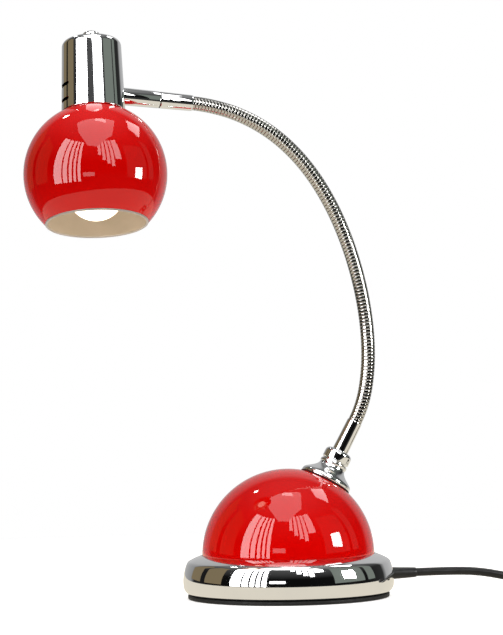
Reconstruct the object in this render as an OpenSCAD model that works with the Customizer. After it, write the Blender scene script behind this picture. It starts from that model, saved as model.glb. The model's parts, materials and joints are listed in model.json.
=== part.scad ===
// Gooseneck desk lamp: half-round weighted base, chromed flexible neck and a ball shade
// under a chromed lamp-holder cup. Millimetres, +Z up. The origin is the centre of the
// base on the table, and the neck arches in the XZ plane towards -X.

/* [Base] */
// Widest diameter of the chromed base ring
base_d = 165.4; // [160:0.2:172]
// Diameter of the rubber foot pad
foot_d = 158; // [150:1:160]
// Thickness of the rubber foot pad
foot_h = 3; // [2:0.5:4]
// Diameter of the half-round base cover
dome_d = 135; // [132:0.5:136]
// Height of the centre of the half-round cover
dome_z = 33; // [32:0.5:36]
// Thickness of the pressed steel sheet
sheet = 1.2; // [0.8:0.1:1.5]
// Diameter of the cast weight inside the base
ballast_d = 132; // [120:1:132]

/* [Neck] */
// Lean of the neck's root from the vertical, in degrees
neck_lean = 29; // [20:1:40]
// Diameter of the flange that sits on the cover
flange_d = 40; // [36:1:44]
// Distance of the lowest neck joint from the centre of the cover
neck_root = 118; // [112:1:124]
// Outer diameter of the flexible neck
hose_d = 11; // [10.6:0.1:11.4]
// Length of one neck link along its curve
link_l = 27; // [24:0.5:30]

/* [Arm] */
// Length of the ferrule at the top of the neck
ferrule_l = 24.5; // [22:0.5:28]
// Distance from the top neck joint to the axis of the head
arm_reach = 78; // [76:0.5:84]
// Diameter of the arm tube where it meets the cup
arm_d = 13.6; // [12.8:0.1:14.4]

/* [Head] */
// Lean of the head's axis in the plane of the neck, in degrees
head_lean = 3; // [0:0.5:8]
// Tilt of the lamp's mouth towards the front, in degrees
head_tilt = 14; // [0:1:30]
// Diameter of the cup at its open end
cup_d = 49; // [48:0.5:50]
// Height of the cup's top above the arm
cup_top = 42.4; // [38:0.2:48]
// Diameter of the ball shade
shade_d = 110; // [104:1:116]
// Diameter of the mouth of the shade
mouth_d = 78; // [70:1:84]

/* [Lamp] */
// Diameter of the lamp bulb
bulb_d = 45; // [40:1:46]
// Length of the lamp bulb with its screw cap
bulb_l = 78; // [74:1:80]

/* [Cord] */
// Diameter of the mains cord
cord_d = 6.5; // [6:0.1:7]
// Height of the cord where it leaves the base
cord_z = 15.2; // [13:0.1:17]

/* [Hidden] */
$fn = 96;
// Clearance all round between two neighbours that don't touch
gap = 0.1;
// Rest bend of each neck link, from the base to the head, in degrees
neck_bends = [18, 10, 7.5, 6, 5.5, 6, 7, 9, 11, 12, 12, 10];
links = len(neck_bends);

// Base
ring_bulge = 15;
ring_heel = 6;
ring_r = base_d / 2;
dome_r = dome_d / 2;
plate_z = foot_h + sheet;
plate_t = 1.5;
ballast_z = plate_z + plate_t;
lip_z = 22;
clamp_t = 3;
screw_pcd = 110;
lip_r = 60;
screw_r = 2;
slot_w = 10;
ballast_r = ballast_d / 2;

// Thread sizes
m10_r = 5;
m10_bore = 3.3;
m8_r = 4;

// Flange and collar on the cover, as distances from the centre of the cover
gasket_t = 0.8;
flange_r = flange_d / 2;
flange_z = 64.9;
bell_z = 77.6;
waist_r = 10.4;
collar_z = 78.4;
collar_r = 10.8;
ferrule_z = 91.5;

// Flexible neck
hose_r = hose_d / 2;
hose_bore = 3.3;
ball_r = 4.9;
socket_r = 5;
link_gap = 1.1;

// Swivel and arm
washer_t = 0.8;
swivel_r = 3.6;
swivel_bore = 2.6;
swivel_run = 0.05;
bush_l = 8;
arm_r = arm_d / 2;
seam_r = 6.5;

// Head, as heights above the arm's axis along the head's axis
cup_r = cup_d / 2;
cup_top_r = 22.9;
cup_edge = 5;
cup_foot = -15.1;
shade_r = shade_d / 2;
shade_w = -65;
shade_t = 1.1;
mouth_w = shade_w - sqrt(pow(shade_r, 2) - pow(mouth_d / 2, 2));
neck_hole_r = 14.2;
slot_h = 2.8;
slot_l = 20;
slot_heights = [4.6, -7.5];
holder_r = 13.5;
holder_foot = -46;
holder_split = -6;
holder_head = 6;

// Lamp bulb
bulb_r = bulb_d / 2;
bulb_end = -101.3;
bulb_w = bulb_end + bulb_r;
bulb_tip = bulb_end + bulb_l;
cap_r = 7;
cap_l = 25;
cap_w = bulb_tip - cap_l;
glass_t = 0.9;

// Cord and what is on it
cord_r = cord_d / 2;
boot_l = 25;
cord_sides = 10;
switch_x = 274;
switch_y = -22;
switch_l = 60;
switch_w = 26;
switch_h = 16;
switch_cord_z = 7;
rocker_tilt = 7;
coil_x = 343;
coil_y = 24.75;
coil_h = 12.15;
coil_turn_r = 37;
coil_half_w = 13;
plug_x = 296;
plug_y = 68.25;
plug_cord_z = 6.85;

// Points along the middle of the cord, from the boot to the switch
lead_route = [
    [107, 0, 15.2], [122, 0, 15.2], [137, 0, 15], [152, -0.5, 14.4], [165, -2, 12.9],
    [178, -5, 10.4], [190, -9, 7.5], [202, -14, 5], [213, -18.5, 3.6], [222, -21, 3.3],
    [230, -22, 3.8], [238, -22, 5.8], [244, -22, 7]
];
// From the switch into the coil
link_route = [[304, -22, 7], [311, -22, 5.9], [319, -22, 4.2], [328, -22, 3.4], [343, -22, 3.25]];
// From the coil to the plug
tail_route = [[343, 68.25, 8.9], [331, 68.25, 9.2], [319, 68.25, 8.8], [308, 68.25, 7.7],
    [302, 68.25, 7], [296, 68.25, 6.85]];

// Lean of the neck from the vertical at joint k, and the place of joint k
function lean_at(k) = k == 0 ? neck_lean : lean_at(k - 1) - neck_bends[k - 1];
function bend_r(k) = link_l * 180 / (PI * neck_bends[k]);
function turned(v, a) = [v[0] * cos(a) + v[2] * sin(a), 0, v[2] * cos(a) - v[0] * sin(a)];
function link_chord(k) = let (r = bend_r(k), b = neck_bends[k]) [-r * (1 - cos(b)), 0, r * sin(b)];
function joint_at(k) = k == 0
    ? [neck_root * sin(neck_lean), 0, dome_z + neck_root * cos(neck_lean)]
    : joint_at(k - 1) + turned(link_chord(k - 1), lean_at(k - 1));
function head_at() = joint_at(links) + turned([0, 0, arm_reach], lean_at(links));

// Frames: the cover's axis to the neck, a neck joint, and the head
module on_neck() {
    translate([0, 0, dome_z]) rotate([0, neck_lean, 0]) children();
}

module on_joint(k) {
    translate(joint_at(k)) rotate([0, lean_at(k), 0]) children();
}

module on_head() {
    translate(head_at()) rotate([0, head_lean, 0]) rotate([-head_tilt, 0, 0]) children();
}

// A round bar or hole from height a to height b
module rod(r, a, b) {
    translate([0, 0, a]) cylinder(r = r, h = b - a);
}

module tube(r, bore, a, b) {
    difference() {
        rod(r, a, b);
        rod(bore, a - 1, b + 1);
    }
}

module hex_nut(flats, bore, a, b) {
    difference() {
        translate([0, 0, a]) cylinder(r = flats / sqrt(3), h = b - a, $fn = 6);
        rod(bore, a - 1, b + 1);
    }
}

// ---- Base ----

// Full disc with a blind pocket over it for each screw head
module foot_pad() {
    color([0.05, 0.05, 0.05])
        difference() {
            rod(foot_d / 2, 0, foot_h);
            at_screws() rod(4.4, 1.6, foot_h + 1);
        }
}

// Quarter of a disc, above or below its centre
module quarter(x, z, r, up) {
    intersection() {
        translate([x, z]) circle(r = r);
        translate([x, up ? z : z - r - 1]) square(r + 1);
    }
}

// Section of the base ring, drawn in by t
module ring_section(t) {
    mid = ring_r - ring_bulge;
    heel = ring_r - ring_heel;
    top = dome_z - ring_bulge;
    low = foot_h + ring_heel;
    quarter(mid, top, ring_bulge - t, true);
    quarter(heel, low, ring_heel - t, false);
    translate([mid - 8, top]) square([8, ring_bulge - t]);
    translate([mid - 8, low]) square([ring_bulge + 8 - t, top - low]);
    translate([mid - 8, foot_h + t]) square([heel - mid + 8, ring_heel - t]);
}

module base_ring() {
    inner = ring_r - ring_bulge;
    color([0.8, 0.8, 0.82])
        difference() {
            rotate_extrude() {
                difference() {
                    intersection() {
                        ring_section(0);
                        translate([inner, 0]) square([40, 60]);
                    }
                    ring_section(sheet);
                }
                translate([lip_r, foot_h]) square([inner - lip_r + 3, sheet]);
            }
            translate([60, 0, cord_z]) rotate([0, 90, 0]) cylinder(r = 4.7, h = 40);
        }
}

module base_plate() {
    color([0.55, 0.56, 0.58])
        difference() {
            rod(ring_r - ring_heel - sheet - 1, plate_z, ballast_z);
            at_screws() rod(screw_r + 0.3, plate_z - 1, ballast_z + 1);
        }
}

module at_screws() {
    for (a = [45 : 90 : 315]) rotate([0, 0, a]) translate([screw_pcd / 2, 0, 0]) children();
}

module ballast() {
    color([0.25, 0.25, 0.27])
        difference() {
            rod(ballast_r, ballast_z, lip_z);
            at_screws() rod(screw_r + 0.3, ballast_z - 1, lip_z + 1);
            translate([37, -slot_w / 2, cord_z - 5.2]) cube([40, slot_w, 20]);
        }
}

module base_cover() {
    color([0.85, 0.03, 0.03])
        difference() {
            union() {
                translate([0, 0, dome_z]) difference() {
                    sphere(r = dome_r);
                    sphere(r = dome_r - sheet);
                    translate([0, 0, -dome_r - 1]) cylinder(r = dome_r + 1, h = dome_r + 1);
                }
                tube(dome_r, dome_r - sheet, lip_z, dome_z);
                tube(dome_r - sheet / 2, 51, lip_z, lip_z + sheet);
            }
            at_screws() rod(screw_r + 0.3, lip_z - 1, lip_z + sheet + 1);
            on_neck() rod(m10_r + 0.2, 50, 80);
        }
}

module clamp_ring() {
    z = lip_z + sheet;
    color([0.55, 0.56, 0.58])
        difference() {
            tube(63, 48, z, z + clamp_t);
            at_screws() rod(screw_r, z - 1, z + clamp_t + 1);
        }
}

module base_screws() {
    color([0.6, 0.6, 0.62])
        at_screws() {
            difference() {
                rod(3.6, plate_z - 2.2, plate_z);
                translate([-2.5, -0.5, plate_z - 2.6]) cube([5, 1, 1.2]);
            }
            rod(screw_r, plate_z - 0.5, lip_z + sheet + clamp_t);
        }
}

// ---- Cord entry and wiring in the base ----

// Boot with a flange inside the ring's wall, tapering along the cord outside it
module cord_boot() {
    wall = ring_r - sheet;
    color([0.06, 0.06, 0.06])
        translate([0, 0, cord_z]) rotate([0, 90, 0])
            difference() {
                union() {
                    rod(6.2, wall - 2.4, wall - 0.5);
                    rod(4.5, wall - 1, ring_r);
                    translate([0, 0, ring_r]) cylinder(r1 = 4.5, r2 = 3.7, h = 107 - ring_r);
                }
                rod(cord_r + 0.02, 60, 120);
            }
}

module cord_inner() {
    bend = 10;
    color([0.06, 0.06, 0.06]) {
        translate([0, 0, cord_z]) rotate([0, 90, 0]) rod(cord_r, 42 + bend, 107);
        translate([42 + bend, 0, cord_z + bend]) rotate([-90, 90, 0])
            rotate_extrude(angle = 90) translate([bend, 0]) circle(r = cord_r);
        translate([42, 0, 0]) rod(cord_r, cord_z + bend, 33);
    }
}

module terminal_block() {
    color([0.92, 0.9, 0.84])
        difference() {
            union() {
                translate([-12, -9, lip_z]) cube([24, 18, 9]);
                for (y = [-4.2, 4.2]) translate([-10, y - 3, lip_z]) cube([20, 6, 14]);
            }
            for (y = [-4.2, 4.2]) {
                translate([-13, y, lip_z + 6]) rotate([0, 90, 0]) cylinder(r = 1.6, h = 26);
                for (x = [-5, 5]) translate([x, y, lip_z + 7]) cylinder(r = 1.5, h = 8);
            }
        }
}

// A wire of radius r through the given points
module wire(points, r) {
    for (i = [0 : len(points) - 2]) {
        d = points[i + 1] - points[i];
        translate(points[i]) rotate([0, acos(d[2] / norm(d)), atan2(d[1], d[0])])
            cylinder(r = r, h = norm(d), $fn = 8);
        if (i > 0) translate(points[i]) sphere(r = r * 1.05, $fn = 8);
    }
}

module base_wires() {
    r = 1.1;
    neck = [0, 0, dome_z] + turned([0, 0, 62], neck_lean);
    low = [0, 0, dome_z] + turned([0, 0, 48], neck_lean);
    color([0.35, 0.2, 0.1])
        for (s = [-1, 1]) {
            side = [0, s * 1.6, 0];
            wire([[42, 0, 32.9] + side, [40, s * 2, 38], [26, s * 4.2, 36], [16, s * 4.2, lip_z + 6],
                [6, s * 4.2, lip_z + 6]], r);
            wire([[-6, s * 4.2, lip_z + 6], [-17, s * 4.2, lip_z + 6], [-18, s * 4.2, 48],
                low + side, neck + side], r);
        }
}

// ---- Neck root ----

module flange_gasket() {
    color([0.08, 0.08, 0.08])
        on_neck() rotate_extrude() intersection() {
            difference() {
                circle(r = dome_r + gasket_t);
                circle(r = dome_r);
            }
            translate([m10_r + 0.4, 30]) square([flange_r - m10_r - 0.1, 50]);
        }
}

module neck_flange() {
    edge = 1.8;
    rim = flange_z + 1.1;
    color([0.8, 0.8, 0.82])
        on_neck() rotate_extrude() difference() {
            union() {
                translate([m10_r + gap, 50]) square([flange_r - m10_r - gap, rim - 50]);
                translate([flange_r - edge, rim]) circle(r = edge);
                polygon([
                    [m10_r + gap, rim - 0.1], [flange_r - edge, rim - 0.1],
                    [flange_r - edge + 1.1, rim + 1.4], [waist_r, bell_z], [waist_r, collar_z],
                    [m10_r + gap, collar_z]
                ]);
            }
            circle(r = dome_r + gasket_t);
        }
}

module neck_nipple() {
    color([0.7, 0.6, 0.35])
        on_neck() tube(m10_r, m10_bore, 56, 97);
}

module flange_washer() {
    color([0.6, 0.6, 0.62])
        on_neck() tube(9, m10_r + gap, 64.2, 65.6);
}

module flange_nut() {
    color([0.6, 0.6, 0.62])
        on_neck() hex_nut(14, m10_r, 59.8, 64.2);
}

// Round nut that holds the flange and the ferrule, with a groove and a rounded top
module neck_collar() {
    edge = 4;
    color([0.8, 0.8, 0.82])
        on_neck() rotate_extrude() difference() {
            union() {
                translate([m10_r, collar_z]) square([collar_r - m10_r - 0.6, 2]);
                translate([m10_r, collar_z + 1]) square([collar_r - m10_r, 8.1]);
                translate([m10_r, collar_z + 2]) square([collar_r - m10_r - edge, ferrule_z - collar_z - 2]);
                translate([collar_r - edge, ferrule_z - edge]) circle(r = edge);
            }
            translate([collar_r + 0.5, collar_z + 3.4]) circle(r = 1);
        }
}

module lower_ferrule() {
    color([0.8, 0.8, 0.82])
        on_neck() difference() {
            translate([0, 0, ferrule_z])
                cylinder(r1 = 6.3, r2 = 5.9, h = neck_root - ferrule_z);
            rod(hose_bore, ferrule_z - 1, neck_root + 1);
            rod(m10_r, ferrule_z - 1, 97.5);
            translate([0, 0, neck_root]) sphere(r = socket_r);
        }
}

// ---- Flexible neck ----

// Link k of the hose: a ball in the socket below it, a curved tube, and a socket above
module hose_link(k) {
    r = bend_r(k);
    bend = neck_bends[k];
    cut = link_gap * 180 / (PI * r);
    difference() {
        on_joint(k) difference() {
            union() {
                sphere(r = ball_r);
                translate([-r, 0, 0]) rotate([90, 0, 0]) rotate([0, 0, cut])
                    rotate_extrude(angle = bend - cut) translate([r, 0]) circle(r = hose_r);
            }
            translate([-r, 0, 0]) rotate([90, 0, 0]) rotate([0, 0, cut / 2])
                rotate_extrude(angle = bend) translate([r, 0]) circle(r = hose_bore);
            rod(hose_bore + 0.2, -8, 2.2);
        }
        on_joint(k + 1) sphere(r = socket_r);
    }
}

module neck_link_01() {
    color([0.72, 0.73, 0.75]) hose_link(0);
}

module neck_link_02() {
    color([0.62, 0.63, 0.66]) hose_link(1);
}

module neck_link_03() {
    color([0.72, 0.73, 0.75]) hose_link(2);
}

module neck_link_04() {
    color([0.62, 0.63, 0.66]) hose_link(3);
}

module neck_link_05() {
    color([0.72, 0.73, 0.75]) hose_link(4);
}

module neck_link_06() {
    color([0.62, 0.63, 0.66]) hose_link(5);
}

module neck_link_07() {
    color([0.72, 0.73, 0.75]) hose_link(6);
}

module neck_link_08() {
    color([0.62, 0.63, 0.66]) hose_link(7);
}

module neck_link_09() {
    color([0.72, 0.73, 0.75]) hose_link(8);
}

module neck_link_10() {
    color([0.62, 0.63, 0.66]) hose_link(9);
}

module neck_link_11() {
    color([0.72, 0.73, 0.75]) hose_link(10);
}

module neck_link_12() {
    color([0.62, 0.63, 0.66]) hose_link(11);
}

// ---- Arm ----

module upper_ferrule() {
    color([0.8, 0.8, 0.82])
        on_joint(links) difference() {
            union() {
                sphere(r = ball_r);
                translate([0, 0, link_gap]) cylinder(r1 = 6.2, r2 = seam_r, h = ferrule_l - link_gap);
            }
            rod(hose_bore, -8, 12);
            rod(swivel_r, 11.9, ferrule_l + 1);
        }
}

module swivel_nipple() {
    color([0.7, 0.6, 0.35])
        on_joint(links) tube(swivel_r, swivel_bore, 12, 38);
}

module swivel_nut() {
    z = ferrule_l + washer_t + bush_l + 0.3;
    color([0.6, 0.6, 0.62])
        on_joint(links) tube(5, swivel_r, z, z + 4);
}

module swivel_washer() {
    color([0.1, 0.1, 0.1])
        on_joint(links) tube(seam_r - 0.3, swivel_r + 0.2, ferrule_l, ferrule_l + washer_t - 0.05);
}

module swivel_bush() {
    z = ferrule_l + washer_t;
    color([0.75, 0.62, 0.3])
        on_joint(links) tube(5.5, swivel_r + swivel_run, z, z + bush_l);
}

// Arm tube, cut to the curve of the cup that it butts against
module arm_tube() {
    z = ferrule_l + washer_t;
    color([0.8, 0.8, 0.82])
        difference() {
            on_joint(links) difference() {
                translate([0, 0, z])
                    cylinder(r1 = seam_r, r2 = arm_r, h = arm_reach - 20 - z);
                rod(5.5, z - 1, 42);
                rod(m10_r, 41, arm_reach);
            }
            on_head() cup_solid(0);
        }
}

module arm_nipple() {
    color([0.7, 0.6, 0.35])
        on_joint(links) tube(m10_r, m10_bore, 42.5, 61);
}

module arm_nut() {
    color([0.6, 0.6, 0.62])
        on_joint(links) hex_nut(12, m10_r, 56.7, 60.2);
}

// ---- Head ----

// Solid of the cup, drawn in by t
module cup_solid(t) {
    top_r = cup_top_r - t;
    rotate_extrude() {
        polygon([
            [0, cup_foot - (t > 0 ? 1 : 0)], [cup_r - t, cup_foot - (t > 0 ? 1 : 0)],
            [top_r, cup_top - cup_edge], [0, cup_top - cup_edge]
        ]);
        translate([0, cup_top - cup_edge - 0.01]) square([top_r - cup_edge + t, cup_edge - t + 0.01]);
        intersection() {
            translate([cup_top_r - cup_edge, cup_top - cup_edge]) circle(r = cup_edge - t);
            translate([0, cup_top - cup_edge - 0.01]) square([40, 20]);
        }
    }
}

module socket_cup() {
    color([0.8, 0.8, 0.82])
        difference() {
            on_head() difference() {
                cup_solid(0);
                cup_solid(sheet);
                rod(m8_r + 0.2, cup_top - 4, cup_top + 1);
                for (w = slot_heights) translate([-30, 0, w]) vent_slot();
            }
            on_joint(links) rod(m10_r + gap, arm_reach - 40, arm_reach - 15);
        }
}

// A slot with round ends, cut along X
module vent_slot() {
    r = slot_h / 2;
    l = slot_l / 2 - r;
    translate([0, -l, -r]) cube([18, 2 * l, slot_h]);
    for (s = [-l, l]) translate([0, s, 0]) rotate([0, 90, 0]) cylinder(r = r, h = 18);
}

module holder_stud() {
    color([0.7, 0.6, 0.35])
        on_head() rod(m8_r, 0, cup_top + 6);
}

module stud_nut() {
    color([0.6, 0.6, 0.62])
        on_head() hex_nut(13, m8_r, cup_top - sheet - 4, cup_top - sheet);
}

module cup_finial() {
    r = 6.9;
    edge = 2.6;
    top = cup_top + 8.8;
    color([0.8, 0.8, 0.82])
        on_head() difference() {
            rotate_extrude() {
                translate([0, cup_top]) square([r, top - cup_top - edge]);
                translate([0, cup_top]) square([r - edge, top - cup_top]);
                translate([r - edge, top - edge]) circle(r = edge);
            }
            rod(m8_r, cup_top - 1, cup_top + 6.2);
        }
}

module holder_cap() {
    color([0.93, 0.92, 0.88])
        on_head() difference() {
            rod(holder_r, holder_split, holder_head);
            rod(m8_r, -0.1, holder_head + 1);
            for (s = [-1, 1]) translate([8.5, s * 3, 0]) rod(1.3, 2, holder_head + 1);
        }
}

// Body of the lamp holder, with the shoulder that the shade hangs from
module holder_body() {
    seat = shade_w + sqrt(pow(shade_r, 2) - pow(neck_hole_r, 2)) + 0.06;
    color([0.93, 0.92, 0.88])
        on_head() difference() {
            union() {
                rod(holder_r, holder_foot, holder_split);
                rod(16.5, seat, seat + 2.5);
            }
            rod(9, holder_foot - 1, bulb_tip + 2.4);
        }
}

// Threaded shell and the spring strip that meets the tip of the bulb
module holder_contacts() {
    color([0.75, 0.62, 0.3])
        on_head() {
            tube(7.7, cap_r + 0.15, bulb_tip - 21, bulb_tip - 0.5);
            rod(2.2, bulb_tip, bulb_tip + 2.4);
            translate([-2, -1.5, bulb_tip + 1.6]) cube([9, 3, 0.8]);
        }
}

// Two wires from the arm over the top of the holder
module head_wires() {
    color([0.35, 0.2, 0.1])
        on_head()
            for (s = [-1, 1])
                wire([[18.5, s * 1.5, 0.5], [16.3, s * 1.6, 4], [15.8, s * 2, 9.5], [12.5, s * 3, 12],
                    [8.5, s * 3, 10.5], [8.5, s * 3, 2.5]], 1.1);
}

module shade() {
    bead = 0.9;
    color([0.85, 0.03, 0.03])
        on_head() rotate_extrude() difference() {
            union() {
                intersection() {
                    translate([0, shade_w]) difference() {
                        circle(r = shade_r);
                        circle(r = shade_r - shade_t);
                    }
                    translate([0, mouth_w]) square([shade_r + 1, 200]);
                }
                translate([mouth_d / 2 - shade_t / 2, mouth_w + 0.2]) circle(r = bead);
            }
            translate([-1, shade_w]) square([neck_hole_r + 1, 80]);
        }
}

module shade_ring() {
    color([0.93, 0.92, 0.88])
        on_head() tube(18.5, holder_r + 0.05, -18.6, -14.5);
}

// Small screw cap of the bulb, with its threads as beads
module bulb_cap() {
    pitch = 2.8;
    color([0.75, 0.75, 0.77])
        on_head() rotate_extrude() {
            difference() {
                union() {
                    translate([0, cap_w]) square([cap_r - 0.5, cap_l - 4]);
                    for (i = [0 : 4]) translate([cap_r - 0.9, cap_w + 6 + i * pitch]) circle(r = 0.9);
                }
                translate([-1, cap_w - 1]) square([cap_r, cap_l - 5]);
            }
            polygon([
                [0, bulb_tip - 4.1], [cap_r - 0.5, bulb_tip - 4.1], [3.6, bulb_tip - 1.2],
                [3, bulb_tip], [0, bulb_tip]
            ]);
        }
}

module bulb_profile(t) {
    neck = cap_r - 0.2 - t;
    shoulder = 17;
    rise = sqrt(pow(bulb_r, 2) - pow(shoulder, 2));
    translate([0, bulb_w]) intersection() {
        circle(r = bulb_r - t);
        translate([0, -30]) square([30, 60]);
    }
    polygon([
        [0, bulb_w], [shoulder - t, bulb_w + rise], [10.6 - t, bulb_w + rise + 6.5],
        [neck + 0.6, cap_w - 3], [neck, cap_w + (t > 0 ? 1 : 0)], [0, cap_w + (t > 0 ? 1 : 0)]
    ]);
}

module bulb_glass() {
    color([0.97, 0.96, 0.92])
        on_head() rotate_extrude() difference() {
            bulb_profile(0);
            bulb_profile(glass_t);
        }
}

// ---- Free cord ----

// Ring of a tube's points round p, square to direction t
function cord_ring(p, t) = let (
        side = cross([0, 0, 1], t) / norm(cross([0, 0, 1], t)),
        up = cross(t, side) / norm(t)
    ) [for (j = [0 : cord_sides - 1]) let (a = 360 * (j + 0.5) / cord_sides)
        p + cord_r * (cos(a) * side + sin(a) * up)];

module cord_tube(route) {
    n = len(route);
    points = [for (i = [0 : n - 1])
        each cord_ring(route[i], route[min(i + 1, n - 1)] - route[max(i - 1, 0)])];
    sides = [for (i = [0 : n - 2], j = [0 : cord_sides - 1]) let (
        a = i * cord_sides + j, b = i * cord_sides + (j + 1) % cord_sides
    ) [a, a + cord_sides, b + cord_sides, b]];
    near_end = [for (j = [0 : cord_sides - 1]) j];
    far_end = [for (j = [cord_sides - 1 : -1 : 0]) (n - 1) * cord_sides + j];
    color([0.06, 0.06, 0.06]) polyhedron(points, concat(sides, [near_end, far_end]), convexity = 8);
}

module cord_lead() {
    cord_tube(lead_route);
}

module cord_link() {
    cord_tube(link_route);
}

module cord_tail() {
    cord_tube(tail_route);
}

// Coil of the spare cord: four turns below and three above
module cord_coil() {
    low = coil_turn_r - coil_half_w;
    high = coil_turn_r + coil_half_w;
    color([0.08, 0.08, 0.08])
        translate([coil_x, coil_y, 0]) rotate_extrude()
            polygon([
                [low, 0], [high, 0], [high, cord_d], [high - 3.2, coil_h],
                [low + 3.2, coil_h], [low, cord_d]
            ]);
}

// Half of the switch's case, with the cord's way through it
module switch_shell(a, b) {
    r = 5;
    translate([switch_x, switch_y, 0]) difference() {
        union() {
            translate([-switch_l / 2 + r, -switch_w / 2, a]) cube([switch_l - 2 * r, switch_w, b - a]);
            translate([-switch_l / 2, -switch_w / 2 + r, a]) cube([switch_l, switch_w - 2 * r, b - a]);
            for (x = [-1, 1], y = [-1, 1])
                translate([x * (switch_l / 2 - r), y * (switch_w / 2 - r), 0]) rod(r, a, b);
        }
        translate([-22, -10.5, 2]) cube([44, 21, switch_h - 4]);
        translate([-40, 0, switch_cord_z]) rotate([0, 90, 0]) cylinder(r = cord_r + 0.05, h = 80);
    }
}

module switch_lower() {
    color([0.07, 0.07, 0.07]) switch_shell(0, switch_cord_z);
}

module switch_upper() {
    color([0.07, 0.07, 0.07])
        difference() {
            switch_shell(switch_cord_z + 0.02, switch_h);
            translate([switch_x - 9, switch_y - 5.5, 10]) cube([18, 11, 10]);
            translate([switch_x, switch_y + 12, 12.5]) rotate([90, 0, 0]) cylinder(r = 1, h = 24);
        }
}

module rocker_pin() {
    color([0.6, 0.6, 0.62])
        translate([switch_x, switch_y + 9, 12.5]) rotate([90, 0, 0]) cylinder(r = 1, h = 18);
}

// Rocker, resting in its "on" position with one end pressed down
module switch_rocker() {
    color([0.1, 0.1, 0.1])
        translate([switch_x, switch_y, 12.5]) rotate([0, rocker_tilt, 0]) difference() {
            union() {
                rotate([90, 0, 0]) cylinder(r = 3, h = 10, center = true);
                difference() {
                    translate([-8, -5, 0.4]) cube([16, 10, 5.6]);
                    translate([0, 0, 27]) rotate([90, 0, 0]) cylinder(r = 22.5, h = 12, center = true);
                }
            }
            rotate([90, 0, 0]) cylinder(r = 1.05, h = 20, center = true);
        }
}

// Flat two-pin plug lying on its side face, its pins towards -X
module plug_body() {
    color([0.07, 0.07, 0.07])
        difference() {
            union() {
                linear_extrude(height = 2 * plug_cord_z)
                    polygon([
                        [plug_x - 50, plug_y - 17.5], [plug_x - 42, plug_y - 17.5],
                        [plug_x - 22, plug_y - 9], [plug_x - 14, plug_y - 6],
                        [plug_x - 14, plug_y + 6], [plug_x - 22, plug_y + 9],
                        [plug_x - 42, plug_y + 17.5], [plug_x - 50, plug_y + 17.5]
                    ]);
                translate([plug_x - 14, plug_y, plug_cord_z]) rotate([0, 90, 0])
                    cylinder(r1 = 5.2, r2 = cord_r + 0.5, h = 14);
            }
            plug_pin_rods(0);
        }
}

module plug_pin_rods(grow) {
    for (s = [-1, 1])
        translate([plug_x - 69, plug_y + s * 9.3, plug_cord_z]) rotate([0, 90, 0])
            cylinder(r = 2 + grow, h = 26);
}

module plug_pins() {
    color([0.75, 0.75, 0.77]) plug_pin_rods(0);
}

// ---- Assembly ----

foot_pad();
base_ring();
base_plate();
ballast();
base_cover();
clamp_ring();
base_screws();
cord_boot();
cord_inner();
terminal_block();
base_wires();
flange_gasket();
neck_flange();
neck_nipple();
flange_washer();
flange_nut();
neck_collar();
lower_ferrule();
neck_link_01();
neck_link_02();
neck_link_03();
neck_link_04();
neck_link_05();
neck_link_06();
neck_link_07();
neck_link_08();
neck_link_09();
neck_link_10();
neck_link_11();
neck_link_12();
upper_ferrule();
swivel_nipple();
swivel_nut();
swivel_washer();
swivel_bush();
arm_tube();
arm_nipple();
arm_nut();
socket_cup();
holder_stud();
stud_nut();
cup_finial();
holder_cap();
holder_body();
holder_contacts();
head_wires();
shade();
shade_ring();
bulb_cap();
bulb_glass();
cord_lead();
cord_link();
cord_coil();
cord_tail();
switch_lower();
switch_upper();
rocker_pin();
switch_rocker();
plug_body();
plug_pins();
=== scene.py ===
"""Looks of a gooseneck desk lamp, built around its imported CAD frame."""

import json
import math

import bmesh
import bpy
from mathutils import Matrix, Vector


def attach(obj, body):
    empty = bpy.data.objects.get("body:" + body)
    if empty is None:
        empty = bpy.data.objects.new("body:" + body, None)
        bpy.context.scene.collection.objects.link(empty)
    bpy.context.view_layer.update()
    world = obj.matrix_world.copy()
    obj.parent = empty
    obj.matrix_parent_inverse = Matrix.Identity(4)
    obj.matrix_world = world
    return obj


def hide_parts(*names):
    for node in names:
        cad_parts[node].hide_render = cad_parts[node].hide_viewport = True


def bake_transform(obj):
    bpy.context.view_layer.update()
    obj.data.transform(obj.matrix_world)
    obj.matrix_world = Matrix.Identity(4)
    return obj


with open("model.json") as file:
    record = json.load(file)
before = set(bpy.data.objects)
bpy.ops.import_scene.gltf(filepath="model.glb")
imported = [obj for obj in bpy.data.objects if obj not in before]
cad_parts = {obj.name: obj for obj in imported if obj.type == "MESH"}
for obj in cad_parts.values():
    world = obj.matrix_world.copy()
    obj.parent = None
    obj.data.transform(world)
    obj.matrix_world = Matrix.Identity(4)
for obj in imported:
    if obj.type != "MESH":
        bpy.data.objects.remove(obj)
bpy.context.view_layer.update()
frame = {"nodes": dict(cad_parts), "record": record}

scene = bpy.context.scene
MM = 0.001
FINE, AROUND, SMALL = 224, 160, 96

# ---------------------------------------------------------------- places, in millimetres
COVER_Z, COVER_R = 33.0, 67.5
NECK_LEAN, NECK_ROOT = 29.0, 118.0
NECK_BENDS = (18, 10, 7.5, 6, 5.5, 6, 7, 9, 11, 12, 12, 10)
LINK = 27.0
ARM_REACH = 78.0
HEAD_LEAN, HEAD_TILT = 3.0, 14.0
CORD_R, CORD_Z = 3.25, 15.2
SWITCH = (274.0, -22.0)
PLUG = (296.0, 68.25, 6.85)


def turn(axis, degrees):
    return Matrix.Rotation(math.radians(degrees), 4, axis)


def move(x, y, z):
    return Matrix.Translation((x, y, z))


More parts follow.
